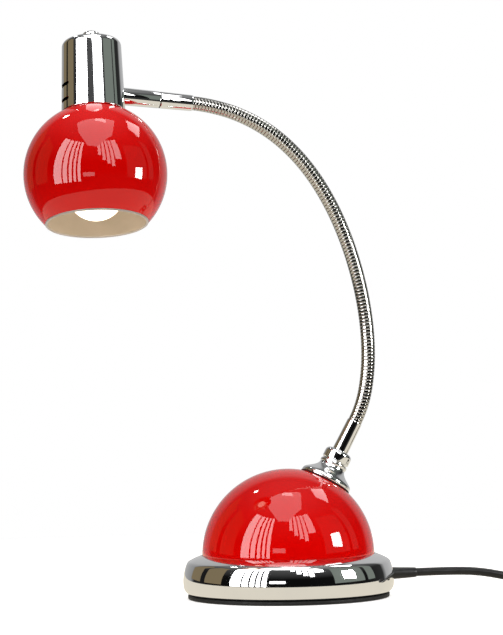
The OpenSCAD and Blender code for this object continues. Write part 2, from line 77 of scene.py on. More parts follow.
def neck_path():
    """Place of each neck joint and the lean of the neck there, from the root to the head."""
    lean = NECK_LEAN
    root = math.radians(lean)
    at = Vector((NECK_ROOT * math.sin(root), 0, COVER_Z + NECK_ROOT * math.cos(root)))
    found = [(at.copy(), lean)]
    for bend in NECK_BENDS:
        b = math.radians(bend)
        r = LINK / b
        at = at + turn("Y", lean) @ Vector((-r * (1 - math.cos(b)), 0, r * math.sin(b)))
        lean -= bend
        found.append((at.copy(), lean))
    return found


JOINTS = neck_path()
TOP, TOP_LEAN = JOINTS[-1]
NECK = move(0, 0, COVER_Z) @ turn("Y", NECK_LEAN)
ARM = Matrix.Translation(TOP) @ turn("Y", TOP_LEAN)
HEAD_AT = ARM @ Vector((0, 0, ARM_REACH))
HEAD = Matrix.Translation(HEAD_AT) @ turn("Y", HEAD_LEAN) @ turn("X", -HEAD_TILT)
CORD_EXIT = move(0, 0, CORD_Z) @ turn("Y", 90)

# ---------------------------------------------------------------- camera
CAMERA_AT = (-0.7999, -2.3780, 0.2195)
CAMERA_TURN, CAMERA_ROLL, LENS, SENSOR = 18.0, 0.9, 181.4, 36
forward = Vector((math.sin(math.radians(CAMERA_TURN)), math.cos(math.radians(CAMERA_TURN)), 0))
right = Vector((forward.y, -forward.x, 0))


def make_camera():
    data = bpy.data.cameras.new("camera")
    data.lens, data.sensor_width, data.clip_end = LENS, SENSOR, 100
    cam = bpy.data.objects.new("camera", data)
    roll = math.radians(CAMERA_ROLL)
    side = right * math.cos(roll) - Vector((0, 0, 1)) * math.sin(roll)
    up = right * math.sin(roll) + Vector((0, 0, 1)) * math.cos(roll)
    facing = Matrix((side, up, -forward)).transposed().to_4x4()
    cam.matrix_world = Matrix.Translation(CAMERA_AT) @ facing
    scene.collection.objects.link(cam)
    scene.camera = cam


make_camera()


# ---------------------------------------------------------------- materials
NOISE_DETAIL = 3.0


def shader(name, color, rough, metal=0.0, **sockets):
    mat = bpy.data.materials.new(name)
    mat.use_nodes = True
    mat.diffuse_color = (*color[:3], 1)
    p = mat.node_tree.nodes["Principled BSDF"]
    p.inputs["Base Color"].default_value = (*color[:3], 1)
    p.inputs["Roughness"].default_value = rough
    p.inputs["Metallic"].default_value = metal
    for key, value in sockets.items():
        p.inputs[key.replace("_", " ")].default_value = value
    return mat


def noise(mat, scale):
    """Noise over the object's own coordinates, in features per metre."""
    n, new = mat.node_tree.nodes, mat.node_tree.links.new
    where, tex = n.new("ShaderNodeTexCoord"), n.new("ShaderNodeTexNoise")
    tex.inputs["Scale"].default_value = scale
    tex.inputs["Detail"].default_value = NOISE_DETAIL
    new(where.outputs["Object"], tex.inputs["Vector"])
    return tex.outputs["Fac"]


def spread(mat, fac, low, high, start=0.3, end=0.7):
    """The value from start to end, laid out from low to high."""
    n, new = mat.node_tree.nodes, mat.node_tree.links.new
    node = n.new("ShaderNodeMapRange")
    for key, value in (("From Min", start), ("From Max", end), ("To Min", low), ("To Max", high)):
        node.inputs[key].default_value = value
    new(fac, node.inputs["Value"])
    return node.outputs["Result"]


def rough_noise(mat, scale, low, high):
    p = mat.node_tree.nodes["Principled BSDF"]
    mat.node_tree.links.new(spread(mat, noise(mat, scale), low, high), p.inputs["Roughness"])


def color_noise(mat, scale, a, b):
    n, new = mat.node_tree.nodes, mat.node_tree.links.new
    mix = n.new("ShaderNodeMix")
    mix.data_type = "RGBA"
    mix.inputs["A"].default_value, mix.inputs["B"].default_value = (*a, 1), (*b, 1)
    new(spread(mat, noise(mat, scale), 0, 1), mix.inputs["Factor"])
    new(mix.outputs["Result"], n["Principled BSDF"].inputs["Base Color"])


def bump_noise(mat, scale, strength, distance):
    n, new = mat.node_tree.nodes, mat.node_tree.links.new
    bump = n.new("ShaderNodeBump")
    bump.inputs["Strength"].default_value = strength
    bump.inputs["Distance"].default_value = distance
    new(noise(mat, scale), bump.inputs["Height"])
    new(bump.outputs["Normal"], n["Principled BSDF"].inputs["Normal"])


def make_materials():
    made = {}

    def add(name, *args, **kw):
        made[name] = shader(name, *args, **kw)
        return made[name]

    m = add("chrome", (0.86, 0.87, 0.88), 0.05, 1.0)
    rough_noise(m, 90, 0.02, 0.06)
    color_noise(m, 30, (0.84, 0.85, 0.86), (0.88, 0.885, 0.89))
    m = add("hose_chrome", (0.8, 0.8, 0.8), 0.08, 1.0)
    rough_noise(m, 400, 0.05, 0.11)
    # painted shade in the hose's grooves, nearly black at their bottom
    painted_groove_shade(m, (0.01, 0.009, 0.008), (0.56, 0.55, 0.52))
    m = add("red_enamel", (0.78, 0.001, 0.0005), 0.5, Specular_IOR_Level=0.0,
            Coat_Weight=1.0, Coat_Roughness=0.01, Coat_IOR=1.5)
    color_noise(m, 25, (0.76, 0.0008, 0.0004), (0.81, 0.002, 0.001))
    rough_noise(m, 120, 0.45, 0.55)
    m = add("white_enamel", (0.45, 0.395, 0.335), 0.42, Coat_Weight=0.2, Coat_Roughness=0.2)
    color_noise(m, 60, (0.43, 0.375, 0.315), (0.475, 0.415, 0.355))
    bump_noise(m, 500, 0.05, 0.0003)
    m = add("black_rubber", (0.005, 0.005, 0.005), 0.6, Specular_IOR_Level=0.3)
    color_noise(m, 300, (0.003, 0.003, 0.003), (0.008, 0.008, 0.008))
    rough_noise(m, 250, 0.5, 0.72)
    bump_noise(m, 1200, 0.25, 0.0003)
    m = add("cord_black", (0.005, 0.005, 0.005), 0.34, Specular_IOR_Level=0.35)
    rough_noise(m, 160, 0.28, 0.42)
    color_noise(m, 90, (0.003, 0.003, 0.003), (0.008, 0.008, 0.0075))
    bump_noise(m, 700, 0.12, 0.0003)
    m = add("black_plastic", (0.014, 0.014, 0.014), 0.42)
    rough_noise(m, 300, 0.36, 0.5)
    color_noise(m, 80, (0.012, 0.012, 0.012), (0.02, 0.02, 0.02))
    bump_noise(m, 1800, 0.3, 0.0002)
    m = add("rocker_plastic", (0.02, 0.02, 0.02), 0.2)
    rough_noise(m, 200, 0.16, 0.26)
    color_noise(m, 80, (0.016, 0.016, 0.016), (0.026, 0.026, 0.026))
    m = add("cast_iron", (0.12, 0.12, 0.125), 0.75, 0.6)
    color_noise(m, 150, (0.08, 0.08, 0.085), (0.17, 0.165, 0.16))
    bump_noise(m, 600, 0.6, 0.0006)
    m = add("zinc_steel", (0.6, 0.61, 0.62), 0.35, 1.0)
    rough_noise(m, 180, 0.26, 0.45)
    color_noise(m, 120, (0.55, 0.56, 0.57), (0.66, 0.67, 0.66))
    m = add("brass", (0.72, 0.52, 0.24), 0.25, 1.0)
    rough_noise(m, 250, 0.18, 0.36)
    color_noise(m, 150, (0.66, 0.46, 0.2), (0.76, 0.57, 0.28))
    m = add("cream_plastic", (0.8, 0.76, 0.64), 0.3)
    color_noise(m, 60, (0.78, 0.74, 0.62), (0.83, 0.8, 0.69))
    rough_noise(m, 200, 0.24, 0.38)
    m = add("bulb_cap_metal", (0.8, 0.8, 0.8), 0.3, 1.0)
    rough_noise(m, 300, 0.22, 0.4)
    color_noise(m, 200, (0.74, 0.74, 0.73), (0.84, 0.84, 0.83))
    m = add("frosted_glass", (0.96, 0.94, 0.88), 0.3, Coat_Weight=0.6, Coat_Roughness=0.05)
    lit = m.node_tree.nodes["Principled BSDF"].inputs
    lit["Emission Color"].default_value = (1.0, 0.88, 0.68, 1)
    lit["Emission Strength"].default_value = 3.0
    rough_noise(m, 300, 0.25, 0.38)
    color_noise(m, 50, (0.94, 0.92, 0.86), (0.97, 0.95, 0.9))
    m = add("wire_brown", (0.12, 0.045, 0.02), 0.35)
    color_noise(m, 120, (0.10, 0.04, 0.018), (0.14, 0.055, 0.026))
    rough_noise(m, 200, 0.28, 0.42)
    m = add("pin_nickel", (0.72, 0.71, 0.68), 0.2, 1.0)
    rough_noise(m, 300, 0.14, 0.3)
    color_noise(m, 160, (0.68, 0.67, 0.64), (0.76, 0.75, 0.72))
    return made


def painted_groove_shade(mat, low, high):
    """Painted shade: darkens the bottom of a winding's grooves, by the height written on the mesh."""
    n, new = mat.node_tree.nodes, mat.node_tree.links.new
    height, mix = n.new("ShaderNodeAttribute"), n.new("ShaderNodeMix")
    height.attribute_name = "height"
    mix.data_type = "RGBA"
    mix.inputs["A"].default_value, mix.inputs["B"].default_value = (*low, 1), (*high, 1)
    new(spread(mat, height.outputs["Fac"], 0, 1, 0.3, 0.95), mix.inputs["Factor"])
    new(mix.outputs["Result"], n["Principled BSDF"].inputs["Base Color"])


MATERIALS = make_materials()


# ---------------------------------------------------------------- mesh helpers
def arc(x, z, r, start, end, steps):
    """Points round (x, z), with 0 degrees along x and 90 along z."""
    angles = [math.radians(start + (end - start) * i / steps) for i in range(steps + 1)]
    return [(x + r * math.cos(a), z + r * math.sin(a)) for a in angles]


def smooth_line(points, steps):
    """A Catmull-Rom curve through the points."""
    points = [Vector(p) for p in points]
    ends = [2 * points[0] - points[1], *points, 2 * points[-1] - points[-2]]
    line = []
    for a, b, c, d in zip(ends, ends[1:], ends[2:], ends[3:]):
        for i in range(steps):
            t = i / steps
            line.append(0.5 * (
                2 * b + (c - a) * t + (2 * a - 5 * b + 4 * c - d) * t**2
                + (3 * b - a - 3 * c + d) * t**3))
    return [tuple(p) for p in line + [points[-1]]]


def flat_curve(points, steps):
    """A smooth outline of (radius, height) through the points."""
    return [p[:2] for p in smooth_line([(r, z, 0) for r, z in points], steps)]


def polar(radius, degrees):
    """Points (radius, height) on a ball round the origin, at angles from its top."""
    angles = [math.radians(a) for a in degrees]
    return [(radius * math.sin(a), radius * math.cos(a)) for a in angles]


def new_object(name, verts, faces, mats, smooth=35.0):
    """A mesh in millimetres made an object, with edges sharper than the angle kept hard."""
    mesh = bpy.data.meshes.new(name)
    mesh.from_pydata([Vector(v) * MM for v in verts], [], faces)
    bm = bmesh.new()
    bm.from_mesh(mesh)
    bmesh.ops.recalc_face_normals(bm, faces=bm.faces)
    bm.to_mesh(mesh)
    bm.free()
    obj = bpy.data.objects.new(name, mesh)
    scene.collection.objects.link(obj)
    for mat in mats:
        mesh.materials.append(MATERIALS[mat])
    mesh.shade_smooth()
    mesh.set_sharp_from_angle(angle=math.radians(smooth))
    return obj


def settle(obj, body, slot, *nodes):
    """Puts the piece on its body, in place of the CAD nodes; slot is not used."""
    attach(obj, body)
    if nodes:
        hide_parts(*nodes)
    return obj


def turned(outline, place, around=AROUND):
    """Vertices and faces of an outline of (radius, height) turned about the place's z axis."""
    verts, faces, rows = [], [], []
    for r, z in outline:
        if abs(r) < 1e-6:
            rows.append([len(verts)] * around)
            verts.append(place @ Vector((0, 0, z)))
        else:
            rows.append(list(range(len(verts), len(verts) + around)))
            for j in range(around):
                a = 2 * math.pi * j / around
                verts.append(place @ Vector((r * math.cos(a), r * math.sin(a), z)))
    closed = abs(outline[0][0]) > 1e-6
    pairs = list(zip(rows, rows[1:])) + ([(rows[-1], rows[0])] if closed else [])
    for a, b in pairs:
        for j in range(around):
            k = (j + 1) % around
            quad = [a[j], a[k], b[k], b[j]]
            faces.append([v for i, v in enumerate(quad) if v not in quad[:i]])
    return verts, faces


def lathe(name, outline, place, mats, around=AROUND, smooth=35.0):
    verts, faces = turned(outline, place, around)
    return new_object(name, verts, faces, mats, smooth)


def rounded_rect(half_x, half_y, r, steps=7):
    """Points round a rectangle with rounded corners."""
    points = []
    for cx, cy, start in ((1, 1, 0), (-1, 1, 90), (-1, -1, 180), (1, -1, 270)):
        points += arc(cx * (half_x - r), cy * (half_y - r), r, start, start + 90, steps)
    return points


def stack(name, rings, mats, smooth=35.0):
    """A closed solid over rings of the same number of points."""
    n = len(rings[0])
    verts = [p for ring in rings for p in ring]
    faces = [
        [i * n + j, i * n + (j + 1) % n, (i + 1) * n + (j + 1) % n, (i + 1) * n + j]
        for i in range(len(rings) - 1)
        for j in range(n)
    ]
    faces += [list(range(n)), list(range((len(rings) - 1) * n, len(rings) * n))]
    return new_object(name, verts, faces, mats, smooth)


def cut(obj, cutter):
    """Takes the cutter out of the object's mesh and removes the cutter."""
    mod = obj.modifiers.new("cut", "BOOLEAN")
    mod.object, mod.operation, mod.solver = cutter, "DIFFERENCE", "EXACT"
    bpy.context.view_layer.update()
    mesh = bpy.data.meshes.new_from_object(obj.evaluated_get(bpy.context.evaluated_depsgraph_get()))
    obj.modifiers.clear()
    old, obj.data = obj.data, mesh
    mesh.name = obj.name
    bpy.data.meshes.remove(old)
    bpy.data.objects.remove(cutter)


# ---------------------------------------------------------------- free cord
LEAD = [(82.7, 0, CORD_Z), (95, 0, CORD_Z), (107, 0, CORD_Z), (122, 0, CORD_Z), (137, 0, 15),
        (152, -0.5, 14.4), (165, -2, 12.9), (178, -5, 10.4), (190, -9, 7.5), (202, -14, 5),
        (213, -18.5, 3.6), (222, -21, 3.3), (230, -22, 3.8), (238, -22, 5.8), (244, -22, 7)]
THROUGH = [(252, -22, 7), (262, -22, 7), (274, -22, 7), (286, -22, 7), (296, -22, 7)]
TO_COIL = [(304, -22, 7), (311, -22, 5.9), (319, -22, 4.2), (328, -22, 3.4), (335, -22, 3.27)]
TO_PLUG = [(331, 68.25, 9.2), (319, 68.25, 8.8), (308, 68.25, 7.7), (302, 68.25, 7),
           (296, 68.25, 6.85), (286, 68.25, 6.85)]
COIL_AT, COIL_LOW, COIL_HIGH = (343.0, 24.75), (46.75, 40.25, 33.75, 27.25), (30.5, 37.0, 43.5)
COIL_Z, COIL_TURNS, COIL_START = (3.25, 8.9), 6.5, -90
SHIFT_AT, CLIMB_AT, SHIFT_WIDE = 0.72, 3.72, 0.22
STEP = 10


def ease(t):
    """A soft step from 0 to 1."""
    t = min(max(t, 0), 1)
    return t * t * (3 - 2 * t)


def coil_points():
    """Four turns inwards on the table, then two and a half outwards on top of them."""
    radii = [*COIL_LOW, *COIL_HIGH]
    last = len(radii) - 1
    points = []
    for i in range(int(COIL_TURNS * 360 / STEP) + 1):
        turns = i * STEP / 360
        n = min(int(turns), last)
        shift = ease((turns - n - SHIFT_AT) / SHIFT_WIDE)
        r = radii[n] + (radii[min(n + 1, last)] - radii[n]) * shift
        z = COIL_Z[0] + (COIL_Z[1] - COIL_Z[0]) * ease((turns - CLIMB_AT) / SHIFT_WIDE)
        a = math.radians(COIL_START + i * STEP)
        points.append((COIL_AT[0] + r * math.cos(a), COIL_AT[1] + r * math.sin(a), z))
    return points


def make_cord():
    coil = coil_points()
    line = smooth_line(LEAD + THROUGH + TO_COIL + coil[:1], 3)[:-1] + coil[:-1]
    line += smooth_line(coil[-1:] + TO_PLUG, 3)
    data = bpy.data.curves.new("mains_cord", "CURVE")
    data.dimensions, data.use_fill_caps = "3D", True
    data.bevel_depth, data.bevel_resolution = CORD_R * MM, 5
    spline = data.splines.new("POLY")
    spline.points.add(len(line) - 1)
    for point, at in zip(spline.points, line):
        point.co = (*(Vector(at) * MM), 1)
    spline.use_smooth = True
    cord = bpy.data.objects.new("mains_cord", data)
    data.materials.append(MATERIALS["cord_black"])
    scene.collection.objects.link(cord)
    return settle(cord, "base", "cord_black", "cord_lead", "cord_link", "cord_coil", "cord_tail")


cord = make_cord()


def make_boot():
    """Smooth tapered strain relief, flanged inside the ring's wall."""
    neck_r, neck_x, step = 4.85, 84.3, 1.9
    outline = [(3.3, 79.4), (6.0, 79.4), (6.0, 80.6), (4.6, 80.9), (4.6, 82.3), (5.0, 82.6),
               (5.0, 83.8), (neck_r, neck_x)]
    outline += [(neck_r - 0.07 * i - 0.0012 * i * i, neck_x + step * i) for i in range(1, 12)]
    outline += [(3.75, 106.3), (3.55, 106.8), (3.3, 106.9)]
    piece = lathe("cord_boot_tapered", outline, CORD_EXIT, ["cord_black"], 48, 50)
    return settle(piece, "base", "black_rubber", "cord_boot")


def make_switch():
    """In-line switch: two halves with a seam between them, and a rocker in a well."""
    x0, y0 = SWITCH
    half_x, half_y, corner = 30, 13, 5
    height, top_round, foot_round = 16, 2.4, 1.5
    angles = [math.radians(a) for a in (0, 30, 60, 90)]

    def ring(z, inset):
        outline = rounded_rect(half_x - inset, half_y - inset, corner - inset * 0.8)
        return [(x0 + x, y0 + y, z) for x, y in outline]

    low = [ring(foot_round * (1 - math.cos(a)), foot_round * (1 - math.sin(a))) for a in angles]
    low += [ring(6.75, 0), ring(6.95, 0.25)]
    lower = stack("switch_lower_half", low, ["black_plastic"], 50)
    high = [ring(7.05, 0.25), ring(7.25, 0)]
    high += [ring(height - top_round + top_round * math.sin(a), top_round * (1 - math.cos(a)))
             for a in angles]
    upper = stack("switch_upper_half", high, ["black_plastic"], 50)
    hole = rounded_rect(9.1, 5.6, 0.8, 3)
    well = stack("well", [[(x0 + x, y0 + y, z) for x, y in hole] for z in (9.5, 20)], ["black_plastic"])
    cut(upper, well)
    upper.data.set_sharp_from_angle(angle=math.radians(50))
    settle(lower, "base", "black_plastic", "switch_lower")
    settle(upper, "base", "black_plastic", "switch_upper")
    rocker = rocker_piece(move(x0, y0, 12.5) @ turn("Y", 7))
    settle(rocker, "rocker", "rocker_plastic", "switch_rocker")
    return [lower, upper, rocker]


def rocker_piece(pose):
    """A rocker with a dished top, seen from the side, given rounded long edges."""
    steps, middle = 16, 1.5
    across = [1 - 2 * i / steps for i in range(steps + 1)]
    top = [(8 * u, 4.5 + 1.5 * u ** 2) for u in across]
    outline = [(-7.6, 0.5), (-2.6, -1.5), (0, -2.9), (2.6, -1.5), (7.6, 0.5)] + top
    rings = []
    for y, shrink in ((-5, 0.92), (-4.7, 0.98), (-4.2, 1), (4.2, 1), (4.7, 0.98), (5, 0.92)):
        rings.append([pose @ Vector((x * shrink, y, middle + (z - middle) * shrink))
                      for x, z in outline])
    return stack("rocker_cap", rings, ["rocker_plastic"], 40)


def make_plug():
    """Flat two-pin plug. Each row of the shape: place along it, half width, half height, corner."""
    x0, y0, z0 = PLUG
    face, pin_side = 50, 9.3
    shape = (
        (-face, 16.2, 5.6, 4), (-49.6, 17.0, 6.4, 5), (-48.5, 17.5, 6.85, 5.5), (-42, 17.5, 6.85, 5.5),
        (-37, 16.2, 6.85, 5.5), (-31, 13, 6.8, 5.5), (-25, 9.8, 6.7, 5.3), (-19, 7.4, 6.4, 5),
        (-14, 6.2, 5.8, 4.8), (-13, 5.3, 5.3, 5.25), (-9, 5.0, 5.0, 4.95), (-8.6, 4.5, 4.5, 4.45),
        (-7.4, 4.5, 4.5, 4.45), (-7, 4.8, 4.8, 4.75), (-4.6, 4.5, 4.5, 4.45), (-4.2, 4.1, 4.1, 4.05),
        (-3, 4.1, 4.1, 4.05), (-2.6, 4.3, 4.3, 4.25), (-0.4, 4.0, 4.0, 3.95), (0, 3.7, 3.7, 3.65))
    rings = [[(x0 + x, y0 + y, z0 + z) for y, z in rounded_rect(half_y, half_z, r)]
             for x, half_y, half_z, r in shape]
    body = stack("plug_moulding", rings, ["black_plastic"], 50)
    settle(body, "base", "black_plastic", "plug_body")
    outline = [(0, -4), (2, -4), (2, 10), (1.9, 10.05), (1.9, 16.8), *arc(0.9, 17.9, 1.0, 0, 90, 4),
               (0, 18.95)]
    sleeve_end = x0 - face - 10
    pins = []
    for name, side in (("plug_pin_left", -pin_side), ("plug_pin_right", pin_side)):
        place = move(x0 - face, y0 + side, z0) @ turn("Y", -90)
        pin = lathe(name, outline, place, ["pin_nickel", "black_plastic"], 32)
        for f in pin.data.polygons:
            f.material_index = int(f.center.x / MM > sleeve_end)
        pins.append(settle(pin, "base", "pin_nickel", "plug_pins"))
    return [body, *pins]


boot = make_boot()
switch = make_switch()
plug = make_plug()


# ---------------------------------------------------------------- base
def base_ring():
    """Pressed ring: sloping top, tight shoulder, bulging side, round heel and a lip turned in below."""
    shoulder = arc(75.296, 25.097, 5, 61, 22, 10)
    top_x, top_z = shoulder[0]
    slope_r, slope_end, slope_wide, steps = 47.7, 61, 13, 8
    slope = []
    for i in range(steps + 1):
        a = math.radians(slope_end + slope_wide - slope_wide * i / steps)
        slope.append((top_x - slope_r * (math.cos(math.radians(slope_end)) - math.cos(a)),
                      top_z - slope_r * (math.sin(math.radians(slope_end)) - math.sin(a))))
    side = arc(45.9, 13.22, 36.7, 22, 0, 14)[1:] + arc(52.6, 13.22, 30, 0, -8, 3)[1:]
    heel = arc(75.58, 9.99, 6.79, -8, -90, 14)[1:]
    outer = [(67.75, 33.2), *slope, *shoulder[1:], *side, *heel]
    inner = [(62, 3.2), (62, 4.3), (75.8, 4.4), *arc(75.8, 10, 5.6, -90, 0, 8)[1:],
             (80.3, 24), (76.6, 28.5), (67.75, 32.2)]
    obj = lathe("ring_chrome", outer + inner, Matrix.Identity(4), ["chrome"], FINE)
    return settle(obj, "base", "chrome", "base_ring")


def base_cover():
    """Half ball of sheet with a short straight skirt behind the ring."""
    sheet, skirt = 1.2, 24
    inside = COVER_R - sheet
    outer = [(0, COVER_Z + COVER_R)] + arc(0, COVER_Z, COVER_R, 89, 0, 80) + [(COVER_R, skirt)]
    inner = [(66.3, skirt)] + arc(0, COVER_Z, inside, 0, 87, 40) + [(0, COVER_Z + inside)]
    obj = lathe("cover_red", outer + inner, Matrix.Identity(4), ["red_enamel"], FINE)
    return settle(obj, "base", "red_enamel", "base_cover")


def foot_pad():
    """Rubber pad with moulded rings under it."""
    lift, slant = 0.6, 0.5
    outline = [(0, lift)]
    for start, end in ((20, 26), (44, 50)):
        outline += [(start, lift), (start + slant, 0), (end, 0), (end + slant, lift)]
    outline += [(66, lift), (66 + slant, 0)]
    outline += [*arc(78.3, 0.7, 0.7, -90, 0, 4), *arc(78.3, 2.4, 0.7, 0, 90, 4), (0, 3.1)]
    obj = lathe("pad_rubber", outline, Matrix.Identity(4), ["black_rubber"], AROUND)
    return settle(obj, "base", "black_rubber", "foot_pad")


def neck_root():
    """Gasket, bell flange, collar and ferrule, turned about the neck's first axis."""
    bottom, top = 67.55, 68.35
    edge = math.degrees(math.asin(20.9 / 68.3))
    gasket = polar(bottom, (5.5, 9, 13, edge - 0.1)) + polar(top, (edge, 13, 9, 5.5))
    bell = flat_curve([(20.5, 67.2), (20.0, 68.4), (18.8, 69.6), (16.6, 71.2), (14.3, 72.9),
                       (12.3, 74.7), (10.9, 76.6), (10.4, 78.3)], 4)
    flange = polar(top, (6, 9, 12, 15, 16.8)) + [(20.1, 65.2), (20.5, 65.7), (20.6, 66.4)]
    flange += bell + [(6, 78.3)]
    collar = [(5.2, 78.4), (10.0, 78.4), (10.7, 78.8), (11.0, 79.4), (11.0, 80.6), (10.7, 81.2),
              (10.0, 81.6), (9.9, 82.1), (10.2, 82.6), (10.8, 83.0), (10.9, 83.6),
              *arc(7.4, 87.9, 3.5, 0, 80, 10), (6.2, 91.5), (5.2, 91.5)]
    ferrule = [(5.2, 91.4), (6.3, 91.4), (6.15, 102), (5.98, 116.6),
               *arc(5.75, 117.4, 0.25, 10, 100, 3), (5.45, 117.7), (5.3, 117), (5.2, 106)]
    for name, outline, mat, node, around in (
            ("gasket_black", gasket, "black_rubber", "flange_gasket", AROUND),
            ("flange_bell", flange, "chrome", "neck_flange", AROUND),
            ("collar_nut", collar, "chrome", "neck_collar", AROUND),
            ("ferrule_low", ferrule, "chrome", "lower_ferrule", SMALL)):
        settle(lathe(name, outline, NECK, [mat], around), "base", mat, node)


base_ring()
base_cover()
foot_pad()
neck_root()


# ---------------------------------------------------------------- flexible neck
PITCH, RIDGE, HOSE_R = 2.7, 0.5, 5.5
HOSE_AROUND, PER_TURN = 30, 12


def hose_frame(s):
    """Point of the neck's middle line at length s from its lowest joint, and its in-plane normal."""
    k = min(max(int(s // LINK), 0), len(NECK_BENDS) - 1)
    at, lean = JOINTS[k]
    local = s - k * LINK
    inside = min(max(local, 0), LINK)
    b = math.radians(NECK_BENDS[k]) * inside / LINK
    r = LINK / math.radians(NECK_BENDS[k])
    to = turn("Y", lean)
    p = at + to @ Vector((-r * (1 - math.cos(b)), 0, r * math.sin(b)))
    tangent = to @ Vector((-math.sin(b), 0, math.cos(b)))
    return p + tangent * (local - inside), to @ Vector((math.cos(b), 0, math.sin(b)))


def ridge(phase):
    """Height of the winding over its groove, from 0 to 1."""
    t = abs(phase - math.floor(phase) - 0.5) * 2
    return math.sqrt(max(0.0, 1 - t**8))


def hose_piece(name, start, end):
    """A stretch of the spiral-wound hose. Its rows follow the winding, so stretches join exactly."""
    first, last = round(start / PITCH * PER_TURN), round(end / PITCH * PER_TURN)
    verts, heights = [], []
    for i in range(first, last + 1):
        for j in range(HOSE_AROUND + 1):
            s = (i / PER_TURN + j / HOSE_AROUND) * PITCH
            p, normal = hose_frame(s)
            h = ridge(i / PER_TURN)
            a = 2 * math.pi * j / HOSE_AROUND
            r = HOSE_R - RIDGE * (1 - h)
            verts.append(p + r * (math.cos(a) * normal + math.sin(a) * Vector((0, 1, 0))))
            heights.append(h)
    n = HOSE_AROUND + 1
    faces = [
        [i * n + j, i * n + j + 1, (i + 1) * n + j + 1, (i + 1) * n + j]
        for i in range(last - first)
        for j in range(HOSE_AROUND)
    ]
    obj = new_object(name, verts, faces, ["hose_chrome"], 80)
    layer = obj.data.attributes.new("height", "FLOAT", "POINT")
    layer.data.foreach_set("value", heights)
    return obj


def make_hose():
    """One stretch round each joint, from the middle of a link to the middle of the next."""
    links = len(NECK_BENDS)
    for k in range(links + 1):
        start = -5 if k == 0 else (k - 0.5) * LINK
        end = links * LINK + 4 if k == links else (k + 0.5) * LINK
        piece = hose_piece(f"hose_{k:02d}", start, end)
        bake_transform(piece)
        if k:
            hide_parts(f"neck_link_{k:02d}")


make_hose()


# ---------------------------------------------------------------- arm
def make_arm():
    ferrule = [(5.4, -1.6), *arc(5.85, -1.4, 0.25, 180, 350, 5), (6.2, 0.4), (6.45, 23.9),
               (6.3, 24.4), (5.0, 24.4), (5.0, 3), (5.4, 1)]
    piece = lathe("ferrule_high", ferrule, ARM, ["chrome"], SMALL)
    settle(piece, "neck_end", "chrome", "upper_ferrule")
    tube = [(5.6, 25.3), (6.35, 25.3), (6.55, 25.7), (6.8, 55.15), (5.6, 55.15)]
    settle(lathe("arm_chrome", tube, ARM, ["chrome"], SMALL), "head", "chrome", "arm_tube")


make_arm()

# ---------------------------------------------------------------- head
CUP_FOOT, CUP_TOP = -15.1, 42.4
SLOTS = (4.6, -7.5)
SHADE_W, SHADE_R, SHADE_T, MOUTH_R, NECK_HOLE = -65.0, 55.0, 1.1, 39.0, 14.2


def make_cup():
    """Tapered cup with a rounded top and two slots through its side, and the finial on it."""
    round_x, round_z, round_r, edge = 17.9, 37.4, 5, 0.3
    inside_r, inside_top = 3.8, 41.2
    outer = [(24.3, CUP_FOOT), (24.5, CUP_FOOT + edge), (22.9, round_z),
             *arc(round_x, round_z, round_r, 0, 90, 12)[1:], (4.3, CUP_TOP)]
    inner = [(4.3, inside_top), (round_x, inside_top), *arc(round_x, round_z, inside_r, 90, 0, 6)[1:],
             (23.3, CUP_FOOT + edge), (23.5, CUP_FOOT)]
    cup = lathe("cup_chrome", outer + inner, HEAD, ["chrome"], 192)
    slot = rounded_rect(10, 1.4, 1.39, 6)
    for w in SLOTS:
        rings = [[HEAD @ Vector((x, y, w + z)) for y, z in slot] for x in (-30, -12)]
        cut(cup, stack("slot", rings, ["chrome"]))
    cup.data.set_sharp_from_angle(angle=math.radians(35))
    settle(cup, "head", "chrome", "socket_cup")
    finial = [(0, 42.3), (6.5, 42.3), (6.9, 42.7), (6.9, 46.9), *arc(4.5, 47.0, 2.4, 0, 60, 6),
              (3.6, 50.0), (2.6, 50.4), (0, 50.6)]
    settle(lathe("finial_chrome", finial, HEAD, ["chrome"], SMALL), "head", "chrome", "cup_finial")


def make_shade():
    """Ball shade, red outside and white inside, with a beaded rim round its mouth."""
    mouth = -math.degrees(math.acos(MOUTH_R / SHADE_R))
    hole = math.degrees(math.acos(NECK_HOLE / SHADE_R))
    outer = arc(0, SHADE_W, SHADE_R, hole, mouth, 84)
    mouth_z = SHADE_W + SHADE_R * math.sin(math.radians(mouth))
    rim = arc(38.5, mouth_z + 0.1, 0.95, 20, -200, 10)
    inner = arc(0, SHADE_W, SHADE_R - SHADE_T, mouth + 0.4, hole, 60)
    shade = lathe("shade_red", outer + rim + inner, HEAD, ["red_enamel", "white_enamel"], FINE)
    n = len(outer)
    for f in shade.data.polygons:
        f.material_index = int(f.index // FINE >= n)
    settle(shade, "head", "red_enamel", "shade")


def make_bulb():
    """Golf-ball lamp that narrows to its cap."""
    w, r, cap = -78.8, 22.5, -48.3
    glass = [(0, w - r)] + arc(0, w, r, -88, 40, 44)
    glass += flat_curve([(17.24, w + 14.46), (14.2, w + 17.6), (11.0, w + 20.8), (8.8, w + 24.4),
                         (7.4, w + 27.6), (6.8, cap)], 4)[1:]
    glass += [(6.8, cap + 1), (0, cap + 1)]
    obj = lathe("bulb_opal", glass, HEAD, ["frosted_glass"], SMALL)
    settle(obj, "head", "frosted_glass", "bulb_glass")


make_cup()
make_shade()
make_bulb()

# ---------------------------------------------------------------- CAD nodes that show as they are
for part in frame["record"]["subparts"]:
    mesh = frame["nodes"][part["node"]].data
    mesh.materials.clear()
    mesh.materials.append(MATERIALS[part["material_slot"]])


# ---------------------------------------------------------------- floor and light
MIDDLE = Vector((0, 0, 0.2))
FLOOR_R, FLOOR_GAP = 0.75, 0.0002


